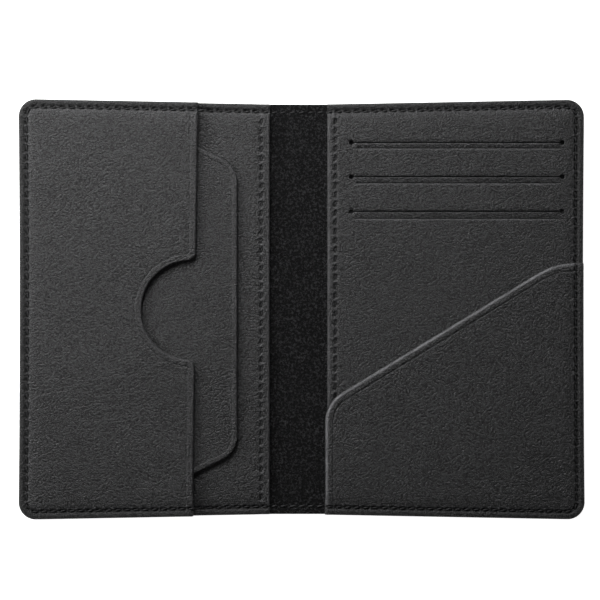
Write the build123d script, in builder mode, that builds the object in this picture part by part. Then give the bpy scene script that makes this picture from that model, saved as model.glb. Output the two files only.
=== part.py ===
from build123d import *

import os
from math import hypot, radians, tan

# A passport holder, lying open with its pockets up.
#
# It is an outer leather cover with a stiffening board in each half, a suede lining, and sewn
# leather pockets. The left half is the front cover and the right half is the back cover. The
# spine between them folds along one line beside each cover.
#
# +X runs from the front cover to the back cover, +Y to the top of the holder, and +Z out of the
# pockets. The origin is on the outer face, under the middle of the spine. Units are millimetres.

# The open cover
OPEN_WIDTH = 188.4
HEIGHT = 140.0
END_TAPER = 1.6  # how far the upper and lower edges draw in from the fore edges to the spine
SPINE_HALF = 9.5  # between here and the middle of the spine those edges run level
SIDE_BOW = 0.4  # how far the fore edges pull in at the middle
CORNER_RADIUS = 5.7
EDGE_ROUND = 0.6  # rounding of the outer leather's edge

# The flexible spine lies between two parallel fold lines
FOLD_X = 4.6  # from the middle of the spine to a fold line, which falls between two stitches
FOLD_GAP = 0.05  # between the spine and a cover

# The layers of the cover, from the outer face up
LEATHER_THICKNESS = 1.0
BOARD_THICKNESS = 0.6
LINING_THICKNESS = 0.4
BOARD_TOP = LEATHER_THICKNESS + BOARD_THICKNESS
LINING_TOP = BOARD_TOP + LINING_THICKNESS
TURNED_EDGE = 4.0  # the outer leather is turned in over the boards' edges by this much
BOARD_CLEARANCE = 0.1
BOARD_START = 8.0  # from the middle of the spine to a board's edge

# The pocket layers
BASE_THICKNESS = 0.7
HEM_WIDTH = 4.2
MIDDLE_GAP = 0.4
POCKET_GAP = 0.5
MIDDLE_THICKNESS = 0.65
POCKET_THICKNESS = 0.7
POCKET_LINING = 0.15
LINING_MARGIN = 2.0  # a pocket's lining stops this far inside the pocket's edge
CARD_GAP = 0.6
CARD_THICKNESS = 0.6
LAYER_CLEARANCE = 0.1

BASE_TOP = LINING_TOP + BASE_THICKNESS
MIDDLE_BOTTOM = BASE_TOP + MIDDLE_GAP
MIDDLE_TOP = MIDDLE_BOTTOM + MIDDLE_THICKNESS
TOP_BOTTOM = MIDDLE_TOP + POCKET_GAP
TOP_TOP = TOP_BOTTOM + POCKET_THICKNESS
CARD_BOTTOM = LINING_TOP + CARD_GAP
CARD_TOP = CARD_BOTTOM + CARD_THICKNESS
DIAGONAL_BOTTOM = CARD_TOP + POCKET_GAP
DIAGONAL_TOP = DIAGONAL_BOTTOM + POCKET_THICKNESS

# The front cover's panels
BASE_EDGE = -10.6  # the base panel's edge beside the spine
TOP_MOUTH = -35.3  # the top pocket's mouth, at the middle of its height
MOUTH_TILT = 0.7  # degrees by which that mouth leans towards the spine at its top
NOTCH_CENTRE = (-36.8, -0.3)
NOTCH_RADIUS = 16.4
NOTCH_CORNER = 3.0
MIDDLE_MOUTH = -21.3  # the middle pocket's mouth
MIDDLE_CORNER_Y = 47.6
MIDDLE_SLOPE = 0.49  # rise over run of its slanted ends
MIDDLE_CORNER = 9.0

# The back cover's panels
CARD_EDGE = 8.5  # the card panel's edge beside the spine
SLIT_HEIGHTS = (55.5, 44.1, 32.5)
SLIT_NAMES = ("top", "middle", "bottom")
SLIT_CENTRE_X = 51.65
SLIT_LENGTH = 70.3
SLIT_WIDTH = 0.4
SLIT_END_RADIUS = 0.8
SLIT_TO_GLUE = 0.5  # a slot liner is glued on from here above its slit
GLUE_WIDTH = 3.0
SLOT_DEPTH = 80.0
SLOT_WIDTH = 74.0
FABRIC_THICKNESS = 0.12
FABRIC_SPACE = 0.08
DIAGONAL_EDGE = 7.7  # the diagonal pocket's open edge beside the spine
DIAGONAL_LOW_Y = -31.0
DIAGONAL_LOW_RADIUS = 11.7
DIAGONAL_HIGH = (84.0, 15.4)
DIAGONAL_HIGH_RADIUS = 22.0

# The seams
SEAM_INSET = 2.7
STITCH_PITCH = 3.05
STITCH_LENGTH = 2.3
THREAD_RADIUS = 0.22
THREAD_CLEARANCE = 0.01
GROOVE_WIDTH = 1.2
TOP_GROOVE_DEPTH = 0.25
OUTER_GROOVE_DEPTH = 0.5
BASE_SEAM = BASE_EDGE - 2.8
CARD_SEAM = CARD_EDGE + 2.7
SPINE_SEAM_HALF = 64.0  # half the length of the seams beside the spine

FAR = 200.0  # beyond the holder in any direction


# Flat outlines

half_width, half_height = OPEN_WIDTH / 2, HEIGHT / 2


def shallow_arc_radius(half_chord, bow):
    """Radius of an arc from half its chord and how far it bows from the chord."""
    return (half_chord**2 + bow**2) / (2 * bow)


side_radius = shallow_arc_radius(half_height, SIDE_BOW)
spine_half_height = half_height - END_TAPER
end_slope = END_TAPER / (half_width - SPINE_HALF)


def cover_region(inset=0.0):
    """The cover's outline, taken in all round: straight ends, and fore edges bowed inwards."""
    side_centre = half_width - SIDE_BOW + side_radius
    spine_x = SPINE_HALF + inset * (hypot(1, end_slope) - 1) / end_slope
    spine_y = spine_half_height - inset
    beyond_y = spine_y + (half_width + CORNER_RADIUS - spine_x) * end_slope
    with BuildSketch() as region:
        with BuildLine():
            upper = Polyline(
                (half_width + CORNER_RADIUS, 0),
                (half_width + CORNER_RADIUS, beyond_y),
                (spine_x, spine_y),
                (-spine_x, spine_y),
                (-half_width - CORNER_RADIUS, beyond_y),
                (-half_width - CORNER_RADIUS, 0),
            )
            mirror(upper, about=Plane.XZ)
        make_face()
        with Locations((side_centre, 0), (-side_centre, 0)):
            Circle(side_radius + inset, mode=Mode.SUBTRACT)
        corners = [point for point in region.vertices() if abs(point.X) > half_width / 2]
        fillet(corners, CORNER_RADIUS - inset)
    return region.sketch


def middle_region(inset=0.0):
    """Everything inside the middle pocket's mouth and slanted ends, taken in by an inset."""
    corner_x = MIDDLE_MOUTH - inset
    corner_y = MIDDLE_CORNER_Y - inset * (hypot(1, MIDDLE_SLOPE) - MIDDLE_SLOPE)
    with BuildSketch() as region:
        with BuildLine():
            Polyline(
                (corner_x - FAR, corner_y + FAR * MIDDLE_SLOPE),
                (corner_x, corner_y),
                (corner_x, -corner_y),
                (corner_x - FAR, -corner_y - FAR * MIDDLE_SLOPE),
                close=True,
            )
        make_face()
        fillet(region.vertices().group_by(Axis.X)[-1], MIDDLE_CORNER - inset)
    return region.sketch


def top_region(inset=0.0):
    """Everything inside the top pocket's mouth with its thumb notch, taken in by an inset."""
    with BuildSketch() as region:
        with Locations(Location((TOP_MOUTH, 0), -MOUTH_TILT)):
            with Locations((-inset - FAR / 2, 0)):
                Rectangle(FAR, FAR)
        with Locations(NOTCH_CENTRE):
            Circle(NOTCH_RADIUS + inset, mode=Mode.SUBTRACT)
        near_mouth = [point for point in region.vertices() if abs(point.X - TOP_MOUTH) < NOTCH_CORNER]
        fillet([point for point in near_mouth if abs(point.Y) < half_height], NOTCH_CORNER - inset)
    return region.sketch


def diagonal_region(inset=0.0):
    """Everything inside the diagonal pocket's open edges, taken in by an inset."""
    slope = (DIAGONAL_HIGH[1] - DIAGONAL_LOW_Y) / (DIAGONAL_HIGH[0] - DIAGONAL_EDGE)
    low = (DIAGONAL_EDGE + inset, DIAGONAL_LOW_Y - inset * (hypot(1, slope) - slope))
    high = (DIAGONAL_HIGH[0] + inset * (hypot(1, slope) - 1) / slope, DIAGONAL_HIGH[1] - inset)
    with BuildSketch() as region:
        with BuildLine():
            Polyline((low[0], -FAR), low, high, (FAR, high[1]), (FAR, -FAR), close=True)
        make_face()
        levels = region.vertices().group_by(Axis.Y)
        fillet(levels[1], DIAGONAL_LOW_RADIUS - inset)
        top_points = region.vertices().group_by(Axis.Y)[-1]
        fillet(top_points.sort_by(Axis.X)[0], DIAGONAL_HIGH_RADIUS - inset)
    return region.sketch


def between(flat, low_x, high_x):
    """The part of a flat shape between two lines along the spine."""
    with BuildSketch() as cut:
        add(flat)
        with Locations(((low_x + high_x) / 2, 0)):
            Rectangle(high_x - low_x, FAR, mode=Mode.INTERSECT)
    return cut.sketch


def overlap(flat, other):
    """What two flat shapes share."""
    with BuildSketch() as shared:
        add(flat)
        add(other, mode=Mode.INTERSECT)
    return shared.sketch


def without(flat, other):
    """A flat shape less another."""
    with BuildSketch() as rest:
        add(flat)
        add(other, mode=Mode.SUBTRACT)
    return rest.sketch


cover_outline = cover_region()
seam_ring = without(
    cover_region(SEAM_INSET - GROOVE_WIDTH / 2), cover_region(SEAM_INSET + GROOVE_WIDTH / 2)
)
board_space = cover_region(TURNED_EDGE)
backing_space = cover_region(TURNED_EDGE + BOARD_CLEARANCE)
inside_hem = cover_region(HEM_WIDTH)
inside_lining = cover_region(LINING_MARGIN)

base_outline = between(cover_outline, -FAR, BASE_EDGE)
middle_outline = overlap(middle_region(), cover_outline)
top_outline = overlap(top_region(), cover_outline)
card_outline = between(cover_outline, CARD_EDGE, FAR)
diagonal_outline = overlap(diagonal_region(), cover_outline)


# Where the stitches lie


def seam_places(path, count, shift=0.0):
    """Evenly spaced places along a path, each with its x axis along the path."""
    places = []
    for i in range(count):
        share = (i / count + shift) % 1.0
        places.append(Plane(path.position_at(share), x_dir=path.tangent_at(share), z_dir=(0, 0, 1)))
    return places


def seam_level(x, y):
    """Height of the uppermost layer at a point of the perimeter seam."""
    if x < TOP_MOUTH + y * tan(radians(MOUTH_TILT)):
        return TOP_TOP
    if x < BASE_EDGE:
        return BASE_TOP
    if x > DIAGONAL_EDGE and y < DIAGONAL_HIGH[1]:
        return DIAGONAL_TOP
    return CARD_TOP if x > CARD_EDGE else LINING_TOP


seam_path = cover_region(SEAM_INSET).face().outer_wire()
seam_start = seam_path.param_at_point((0, spine_half_height - SEAM_INSET, 0))
seam_count = 2 * round(seam_path.length / STITCH_PITCH / 2)
perimeter_places = seam_places(seam_path, seam_count, seam_start)


def perimeter_threads(low_x, high_x):
    """Where the perimeter seam's threads lie between two lines along the spine, on both faces."""
    inner_places, outer_places = [], []
    for place in perimeter_places:
        x, y = place.origin.X, place.origin.Y
        if low_x < x < high_x:
            reach = place.x_dir * (STITCH_LENGTH / 2)
            level = max(seam_level(x - reach.X, y - reach.Y), seam_level(x + reach.X, y + reach.Y))
            inner_places.append(place.offset(level - TOP_GROOVE_DEPTH + THREAD_RADIUS + THREAD_CLEARANCE))
            outer_places.append(place.offset(OUTER_GROOVE_DEPTH - THREAD_RADIUS - THREAD_CLEARANCE))
    return inner_places + outer_places


def save(part, label):
    """Names a finished piece and writes its STEP file."""
    part.label = label
    export_step(part, f"parts/{label}.step")


os.makedirs("parts", exist_ok=True)


# The outer leather, the boards and the lining

cover_regions = {
    "front": (-FAR, -FOLD_X - FOLD_GAP / 2),
    "back": (FOLD_X + FOLD_GAP / 2, FAR),
}
board_regions = {"front": (-FAR, -BOARD_START), "back": (BOARD_START, FAR)}

for side, (low_x, high_x) in cover_regions.items():
    board_low, board_high = board_regions[side]

    with BuildPart() as outer_leather:
        with BuildSketch():
            add(between(cover_outline, low_x, high_x))
        extrude(amount=BOARD_TOP)
        bottom_edges = outer_leather.faces().sort_by(Axis.Z)[0].edges().sort_by(Axis.X)
        fillet(bottom_edges[:-1] if side == "front" else bottom_edges[1:], EDGE_ROUND)
        with BuildSketch(Plane.XY.offset(LEATHER_THICKNESS)):
            add(between(board_space, board_low, board_high))
        extrude(amount=BOARD_THICKNESS, mode=Mode.SUBTRACT)
        with BuildSketch():
            add(between(seam_ring, low_x, high_x))
        extrude(amount=OUTER_GROOVE_DEPTH, mode=Mode.SUBTRACT)
    save(outer_leather.part, f"{side}_outer_leather")

    with BuildPart() as board:
        with BuildSketch(Plane.XY.offset(LEATHER_THICKNESS)):
            add(between(backing_space, board_low + BOARD_CLEARANCE, board_high - BOARD_CLEARANCE))
        extrude(amount=BOARD_THICKNESS)
    save(board.part, f"{side}_board")

    with BuildPart() as lining:
        with BuildSketch(Plane.XY.offset(BOARD_TOP)):
            add(between(cover_outline, low_x, high_x))
        extrude(amount=LINING_THICKNESS)
        edge = BASE_EDGE if side == "front" else DIAGONAL_EDGE
        shown = (edge, high_x) if side == "front" else (low_x, edge)
        with BuildSketch(Plane.XY.offset(LINING_TOP - TOP_GROOVE_DEPTH)):
            add(between(seam_ring, *shown))
        extrude(amount=TOP_GROOVE_DEPTH, mode=Mode.SUBTRACT)
    save(lining.part, f"{side}_lining")


# The spine between the fold lines

spine_low, spine_high = -FOLD_X + FOLD_GAP / 2, FOLD_X - FOLD_GAP / 2

with BuildPart() as spine_leather:
    with BuildSketch():
        add(between(cover_outline, spine_low, spine_high))
    extrude(amount=BOARD_TOP)
    end_edges = spine_leather.faces().sort_by(Axis.Z)[0].edges().sort_by(Axis.Y)
    fillet([end_edges[0], end_edges[-1]], EDGE_ROUND)
    with BuildSketch(Plane.XY.offset(LEATHER_THICKNESS)):
        add(between(board_space, spine_low, spine_high))
    extrude(amount=BOARD_THICKNESS, mode=Mode.SUBTRACT)
    with BuildSketch():
        add(between(seam_ring, spine_low, spine_high))
    extrude(amount=OUTER_GROOVE_DEPTH, mode=Mode.SUBTRACT)
save(spine_leather.part, "spine_leather")

with BuildPart() as spine_backing:
    with BuildSketch(Plane.XY.offset(LEATHER_THICKNESS)):
        add(between(backing_space, spine_low, spine_high))
    extrude(amount=BOARD_THICKNESS)
save(spine_backing.part, "spine_backing")

with BuildPart() as spine_lining:
    with BuildSketch(Plane.XY.offset(BOARD_TOP)):
        add(between(cover_outline, spine_low, spine_high))
    extrude(amount=LINING_THICKNESS)
    with BuildSketch(Plane.XY.offset(LINING_TOP - TOP_GROOVE_DEPTH)):
        add(between(seam_ring, spine_low, spine_high))
    extrude(amount=TOP_GROOVE_DEPTH, mode=Mode.SUBTRACT)
save(spine_lining.part, "spine_lining")


# The front cover's base panel and its two pockets

with BuildPart() as base_panel:
    with BuildSketch(Plane.XY.offset(LINING_TOP)):
        add(base_outline)
    extrude(amount=BASE_THICKNESS)
    with BuildSketch(Plane.XY.offset(BASE_TOP - TOP_GROOVE_DEPTH)):
        add(between(without(seam_ring, top_region(STITCH_LENGTH)), -FAR, BASE_EDGE))
        with Locations((BASE_SEAM, 0)):
            Rectangle(GROOVE_WIDTH, 2 * SPINE_SEAM_HALF)
    extrude(amount=TOP_GROOVE_DEPTH, mode=Mode.SUBTRACT)
save(base_panel.part, "base_panel")

with BuildPart() as middle_pocket_hem:
    with BuildSketch(Plane.XY.offset(BASE_TOP)):
        add(without(middle_outline, inside_hem))
    extrude(amount=MIDDLE_GAP)
save(middle_pocket_hem.part, "middle_pocket_hem")

middle_lining_shape = overlap(middle_region(LINING_MARGIN), inside_lining)

with BuildPart() as middle_pocket:
    with BuildSketch(Plane.XY.offset(MIDDLE_BOTTOM)):
        add(middle_outline)
    extrude(amount=MIDDLE_THICKNESS)
    with BuildSketch(Plane.XY.offset(MIDDLE_BOTTOM)):
        add(middle_lining_shape)
    extrude(amount=POCKET_LINING, mode=Mode.SUBTRACT)
save(middle_pocket.part, "middle_pocket")

with BuildPart() as middle_pocket_lining:
    with BuildSketch(Plane.XY.offset(MIDDLE_BOTTOM)):
        add(middle_lining_shape)
    extrude(amount=POCKET_LINING)
save(middle_pocket_lining.part, "middle_pocket_lining")

with BuildPart() as top_pocket_hem:
    with BuildSketch(Plane.XY.offset(BASE_TOP)):
        add(without(top_outline, inside_hem))
    extrude(amount=TOP_BOTTOM - BASE_TOP)
    with BuildSketch(Plane.XY.offset(BASE_TOP)):
        add(middle_region(-LAYER_CLEARANCE))
    extrude(amount=MIDDLE_TOP - BASE_TOP, mode=Mode.SUBTRACT)
save(top_pocket_hem.part, "top_pocket_hem")

top_lining_shape = overlap(top_region(LINING_MARGIN), inside_lining)

with BuildPart() as top_pocket:
    with BuildSketch(Plane.XY.offset(TOP_BOTTOM)):
        add(top_outline)
    extrude(amount=POCKET_THICKNESS)
    with BuildSketch(Plane.XY.offset(TOP_BOTTOM)):
        add(top_lining_shape)
    extrude(amount=POCKET_LINING, mode=Mode.SUBTRACT)
    with BuildSketch(Plane.XY.offset(TOP_TOP - TOP_GROOVE_DEPTH)):
        add(seam_ring)
    extrude(amount=TOP_GROOVE_DEPTH, mode=Mode.SUBTRACT)
save(top_pocket.part, "top_pocket")

with BuildPart() as top_pocket_lining:
    with BuildSketch(Plane.XY.offset(TOP_BOTTOM)):
        add(top_lining_shape)
    extrude(amount=POCKET_LINING)
save(top_pocket_lining.part, "top_pocket_lining")


# The back cover's card panel, its slot liners, and the diagonal pocket

with BuildPart() as card_panel_hem:
    with BuildSketch(Plane.XY.offset(LINING_TOP)):
        add(without(card_outline, between(inside_hem, CARD_EDGE + HEM_WIDTH, FAR)))
    extrude(amount=CARD_GAP)
save(card_panel_hem.part, "card_panel_hem")

with BuildPart() as card_panel:
    with BuildSketch(Plane.XY.offset(CARD_BOTTOM)):
        add(card_outline)
        for slit_y in SLIT_HEIGHTS:
            with Locations((SLIT_CENTRE_X, slit_y)):
                Rectangle(SLIT_LENGTH, SLIT_WIDTH, mode=Mode.SUBTRACT)
                with GridLocations(SLIT_LENGTH, 1, 2, 1):
                    Circle(SLIT_END_RADIUS, mode=Mode.SUBTRACT)
    extrude(amount=CARD_THICKNESS)
    with BuildSketch(Plane.XY.offset(CARD_TOP - TOP_GROOVE_DEPTH)):
        add(seam_ring)
        with Locations((CARD_SEAM, 0)):
            Rectangle(GROOVE_WIDTH, 2 * SPINE_SEAM_HALF)
    extrude(amount=TOP_GROOVE_DEPTH, mode=Mode.SUBTRACT)
save(card_panel.part, "card_panel")

for layer, (slit_name, slit_y) in enumerate(zip(SLIT_NAMES, SLIT_HEIGHTS)):
    sheet_bottom = LINING_TOP + FABRIC_SPACE + layer * (FABRIC_THICKNESS + FABRIC_SPACE)
    sheet_top_y = slit_y + SLIT_TO_GLUE + GLUE_WIDTH

    with BuildPart() as card_liner:
        with BuildSketch(Plane.XY.offset(sheet_bottom)):
            with Locations((SLIT_CENTRE_X, sheet_top_y)):
                Rectangle(SLOT_WIDTH, SLOT_DEPTH, align=(Align.CENTER, Align.MAX))
        extrude(amount=FABRIC_THICKNESS)
        with BuildSketch(Plane.XY.offset(sheet_bottom)):
            with Locations((SLIT_CENTRE_X, sheet_top_y)):
                Rectangle(SLOT_WIDTH, GLUE_WIDTH, align=(Align.CENTER, Align.MAX))
        extrude(amount=CARD_BOTTOM - sheet_bottom)
    save(card_liner.part, f"card_liner_{slit_name}")

with BuildPart() as diagonal_pocket_hem:
    with BuildSketch(Plane.XY.offset(CARD_TOP)):
        add(without(diagonal_outline, inside_hem))
    extrude(amount=POCKET_GAP)
save(diagonal_pocket_hem.part, "diagonal_pocket_hem")

diagonal_lining_shape = overlap(diagonal_region(LINING_MARGIN), inside_lining)

with BuildPart() as diagonal_pocket:
    with BuildSketch(Plane.XY.offset(DIAGONAL_BOTTOM)):
        add(diagonal_outline)
    extrude(amount=POCKET_THICKNESS)
    with BuildSketch(Plane.XY.offset(DIAGONAL_BOTTOM)):
        add(diagonal_lining_shape)
    extrude(amount=POCKET_LINING, mode=Mode.SUBTRACT)
    with BuildSketch(Plane.XY.offset(DIAGONAL_TOP - TOP_GROOVE_DEPTH)):
        add(seam_ring)
    extrude(amount=TOP_GROOVE_DEPTH, mode=Mode.SUBTRACT)
save(diagonal_pocket.part, "diagonal_pocket")

with BuildPart() as diagonal_pocket_lining:
    with BuildSketch(Plane.XY.offset(DIAGONAL_BOTTOM)):
        add(diagonal_lining_shape)
    extrude(amount=POCKET_LINING)
save(diagonal_pocket_lining.part, "diagonal_pocket_lining")


# The thread: each seam is a group of separate stitches

seam_regions = {
    "front_perimeter_stitches": (-FAR, -FOLD_X),
    "spine_stitches": (-FOLD_X, FOLD_X),
    "back_perimeter_stitches": (FOLD_X, FAR),
}

for seam_name, (low_x, high_x) in seam_regions.items():
    with BuildPart() as perimeter_stitches:
        with Locations(*perimeter_threads(low_x, high_x)):
            Cylinder(THREAD_RADIUS, STITCH_LENGTH, rotation=(0, 90, 0))
    save(perimeter_stitches.part, seam_name)

spine_seam_count = round(2 * SPINE_SEAM_HALF / STITCH_PITCH)
half_pitch = 0.5 / spine_seam_count
spine_seams = {
    "base_panel_stitches": (BASE_SEAM, BASE_TOP),
    "card_panel_stitches": (CARD_SEAM, CARD_TOP),
}

for seam_name, (seam_x, level) in spine_seams.items():
    seam_line = Edge.make_line((seam_x, -SPINE_SEAM_HALF), (seam_x, SPINE_SEAM_HALF))
    rest = level - TOP_GROOVE_DEPTH + THREAD_RADIUS + THREAD_CLEARANCE
    with BuildPart() as spine_side_stitches:
        places = seam_places(seam_line, spine_seam_count, half_pitch)
        with Locations(*[place.offset(rest) for place in places]):
            Cylinder(THREAD_RADIUS, STITCH_LENGTH, rotation=(0, 90, 0))
    save(spine_side_stitches.part, seam_name)
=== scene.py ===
from math import atan2, ceil, cos, hypot, pi, radians, sin, tan

import bpy
import numpy as np
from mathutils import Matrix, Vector
from mathutils.geometry import delaunay_2d_cdt


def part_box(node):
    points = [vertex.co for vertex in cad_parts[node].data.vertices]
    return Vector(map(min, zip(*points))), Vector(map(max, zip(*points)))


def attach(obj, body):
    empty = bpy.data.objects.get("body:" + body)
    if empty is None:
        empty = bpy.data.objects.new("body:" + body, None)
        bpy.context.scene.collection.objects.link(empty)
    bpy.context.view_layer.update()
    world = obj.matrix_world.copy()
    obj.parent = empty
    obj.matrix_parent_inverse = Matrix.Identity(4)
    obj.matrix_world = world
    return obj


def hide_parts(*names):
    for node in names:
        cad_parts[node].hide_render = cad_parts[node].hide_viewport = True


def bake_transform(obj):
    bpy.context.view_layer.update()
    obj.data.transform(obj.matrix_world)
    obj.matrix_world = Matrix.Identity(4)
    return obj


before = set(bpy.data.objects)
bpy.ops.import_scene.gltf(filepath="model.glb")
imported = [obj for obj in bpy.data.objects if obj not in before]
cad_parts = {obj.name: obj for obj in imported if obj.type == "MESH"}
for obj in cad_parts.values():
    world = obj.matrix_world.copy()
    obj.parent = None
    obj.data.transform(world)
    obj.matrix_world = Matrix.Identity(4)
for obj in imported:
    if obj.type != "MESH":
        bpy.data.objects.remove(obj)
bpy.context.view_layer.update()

# A passport holder lying open with its pockets up: an outer leather cover, a suede lining, sewn
# leather pockets and their threads. Sizes here are in millimetres, and a mesh is scaled to
# metres when it is made.

MM = 0.001


# Sizes

def span(node):
    """A CAD node's lowest and highest corner, in millimetres."""
    low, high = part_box(node)
    return np.array(low) / MM, np.array(high) / MM


# The cover's outline: ends that draw in towards the spine, fore edges bowed inwards, and
# rounded corners
OPEN_WIDTH, HEIGHT = 188.4, 140.0
END_TAPER, SPINE_HALF = 1.6, 9.5
SIDE_BOW = 0.4
CORNER_RADIUS = 5.7
half_width, half_height = OPEN_WIDTH / 2, HEIGHT / 2
spine_half_height = half_height - END_TAPER
end_slope = END_TAPER / (half_width - SPINE_HALF)
end_slant = hypot(1, end_slope)
side_radius = (half_height**2 + SIDE_BOW**2) / (2 * SIDE_BOW)
side_centre = half_width - SIDE_BOW + side_radius
corner_x, corner_y = half_width, half_height
for _ in range(20):
    corner_x = side_centre - ((side_radius + CORNER_RADIUS) ** 2 - corner_y**2) ** 0.5
    corner_y = spine_half_height + (corner_x - SPINE_HALF) * end_slope - CORNER_RADIUS * end_slant

# Where the panels stop, and how high they lie
base_edge = span("base_panel")[1][0]
middle_mouth = span("middle_pocket")[1][0]
card_edge = span("card_panel")[0][0]
diagonal_edge = span("diagonal_pocket")[0][0]
diagonal_high_y = span("diagonal_pocket")[1][1]
lining_bottom, lining_top = span("front_lining")[0][2], span("front_lining")[1][2]
base_top = span("base_panel")[1][2]
middle_bottom, middle_top = span("middle_pocket")[0][2], span("middle_pocket")[1][2]
top_bottom, top_top = span("top_pocket")[0][2], span("top_pocket")[1][2]
card_bottom, card_top = span("card_panel")[0][2], span("card_panel")[1][2]
diagonal_bottom, diagonal_top = span("diagonal_pocket")[0][2], span("diagonal_pocket")[1][2]
board_bottom = span("front_board")[0][2]

# The shapes of the mouths
TOP_MOUTH, MOUTH_TILT = -35.3, radians(0.7)
NOTCH_CENTRE, NOTCH_RADIUS, NOTCH_CORNER = (-36.8, -0.3), 16.4, 3.0
MIDDLE_CORNER_Y, MIDDLE_SLOPE, MIDDLE_CORNER = 47.6, 0.49, 9.0
DIAGONAL_LOW_Y, DIAGONAL_LOW_RADIUS = -31.0, 11.7
DIAGONAL_HIGH_X, DIAGONAL_HIGH_RADIUS = 84.0, 22.0
FAR = 160.0

# The card slits, each with a round hole at both ends
SLIT_TO_LINER = 3.5  # a liner's upper edge is this far above its slit
SLIT_LENGTH, SLIT_WIDTH, SLIT_HOLE = 70.3, 0.34, 0.75
LIP_WIDTHS = 1.95, 2.15, 2.4  # from a slit down to the crease under it
slit_heights = [span(f"card_liner_{n}")[1][1] - SLIT_TO_LINER for n in ("top", "middle", "bottom")]
slit_centre = sum(span("card_liner_top"))[0] / 2

# The creases pressed along the pockets' mouths, this far inside them
TOP_CREASE, MIDDLE_CREASE, DIAGONAL_CREASE = 2.25, 1.75, 2.7

# The seams
SEAM_INSET = 2.7
STITCH_PITCH = 3.05
STITCH_REACH = 1.8  # how far from a seam its stitches shape the leather
LUMP_HEIGHT, PIT_DEPTH = 0.20, 0.42
THREAD_RADIUS = 0.24
SPINE_SEAM_HALF = 64.0
BASE_SEAM_INSET, CARD_SEAM_INSET = 2.8, 2.7
BASE_SEAM, CARD_SEAM = base_edge - BASE_SEAM_INSET, card_edge + CARD_SEAM_INSET

# What lies under the panels
HEM_WIDTH = 4.2  # leather turned in along a panel's sewn edges
LINING_MARGIN = 2.0  # a pocket's lining stops this far inside the mouth
LINING_THICKNESS = 0.15
LINER_THICKNESS, GLUE_WIDTH = 0.12, 3.0

# The spine, where the cover bends: FOLD_START and FOLD_END are distances from its middle, and a stitch
# within FOLD_END of it goes with the spine's thread
FOLD_START, FOLD_END = 7.6, 1.6

# The mesh
EDGE_SPACING = 0.8
SEAM_SPACING = STITCH_PITCH / 8
SHOWN_SPACING = 0.55
HIDDEN_SPACING = 3.5


# Random values that are the same in each run

def scatter(i, j, salt):
    """A number from 0 to 1 for each pair of whole numbers."""
    n = i.astype(np.int64) * 374761393 + j.astype(np.int64) * 668265263 + salt * 974634777
    n = (n ^ (n >> 13)) * 1274126177
    n = n & 0xFFFFFFFF
    return ((n ^ (n >> 16)) & 0xFFFFFF) / float(0x1000000)


def smooth(t):
    t = np.clip(t, 0, 1)
    return t * t * (3 - 2 * t)


def waves(x, y, size, salt):
    """Soft noise from -1 to 1, with features about as large as size."""
    x, y = x / size, y / size
    i, j = np.floor(x), np.floor(y)
    u, v = smooth(x - i), smooth(y - j)
    low = scatter(i, j, salt) * (1 - u) + scatter(i + 1, j, salt) * u
    high = scatter(i, j + 1, salt) * (1 - u) + scatter(i + 1, j + 1, salt) * u
    return 2 * (low * (1 - v) + high * v) - 1


def pebbles(x, y, size, salt):
    """Leather grain from 0 in its furrows to 1 on its pebbles, each about size across."""
    x, y = x / size, y / size
    i, j = np.floor(x), np.floor(y)
    first, second = np.full(x.shape, 9.0), np.full(x.shape, 9.0)
    for a in (-1, 0, 1):
        for b in (-1, 0, 1):
            away = np.hypot(
                i + a + scatter(i + a, j + b, salt) - x,
                j + b + scatter(i + a, j + b, salt + 1) - y,
            )
            second = np.minimum(second, np.maximum(first, away))
            first = np.minimum(first, away)
    return smooth((second - first) / 0.45)


# Distances: how far a point is inside an edge, negative outside it

def rounded_off(distance, x, y, centre, radius, first, second):
    """A distance whose corner is an arc, between two directions from the arc's centre."""
    across = first[0] * second[1] - first[1] * second[0]
    dx, dy = x - centre[0], y - centre[1]
    towards_first = (dx * second[1] - dy * second[0]) / across
    towards_second = (first[0] * dy - first[1] * dx) / across
    inside = (towards_first > 0) & (towards_second > 0)
    return np.where(inside, radius - np.hypot(dx, dy), distance)


def cover_distance(x, y):
    x, y = np.abs(x), np.abs(y)
    level = spine_half_height - y
    end = np.maximum(level, (level + (x - SPINE_HALF) * end_slope) / end_slant)
    side = np.hypot(x - side_centre, y) - side_radius
    to_end, to_side = (-end_slope, 1), (side_centre - corner_x, -corner_y)
    nearest = np.minimum(end, side)
    return rounded_off(nearest, x, y, (corner_x, corner_y), CORNER_RADIUS, to_end, to_side)


def corner_distance(x, y, corner, normals, radius):
    """Inside two straight edges that meet at a rounded corner. The normals point inwards."""
    (ax, ay), (bx, by) = normals
    first = (x - corner[0]) * ax + (y - corner[1]) * ay
    second = (x - corner[0]) * bx + (y - corner[1]) * by
    across = ax * by - ay * bx
    centre = corner[0] + radius * (by - ay) / across, corner[1] + radius * (ax - bx) / across
    nearest = np.minimum(first, second)
    return rounded_off(nearest, x, y, centre, radius, (-ax, -ay), (-bx, -by))


def middle_distance(x, y):
    slant = hypot(1, MIDDLE_SLOPE)
    normals = (-1, 0), (-MIDDLE_SLOPE / slant, -1 / slant)
    return corner_distance(x, np.abs(y), (middle_mouth, MIDDLE_CORNER_Y), normals, MIDDLE_CORNER)


def along_mouth(x, y):
    """A point across and along the top pocket's mouth, which leans."""
    across = (x - TOP_MOUTH) * cos(MOUTH_TILT) - y * sin(MOUTH_TILT)
    along = (x - TOP_MOUTH) * sin(MOUTH_TILT) + y * cos(MOUTH_TILT)
    return across, along


notch_across, notch_along = along_mouth(*NOTCH_CENTRE)
notch_corner_rise = (
    (NOTCH_RADIUS + NOTCH_CORNER) ** 2 - (notch_across + NOTCH_CORNER) ** 2
) ** 0.5


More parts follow.
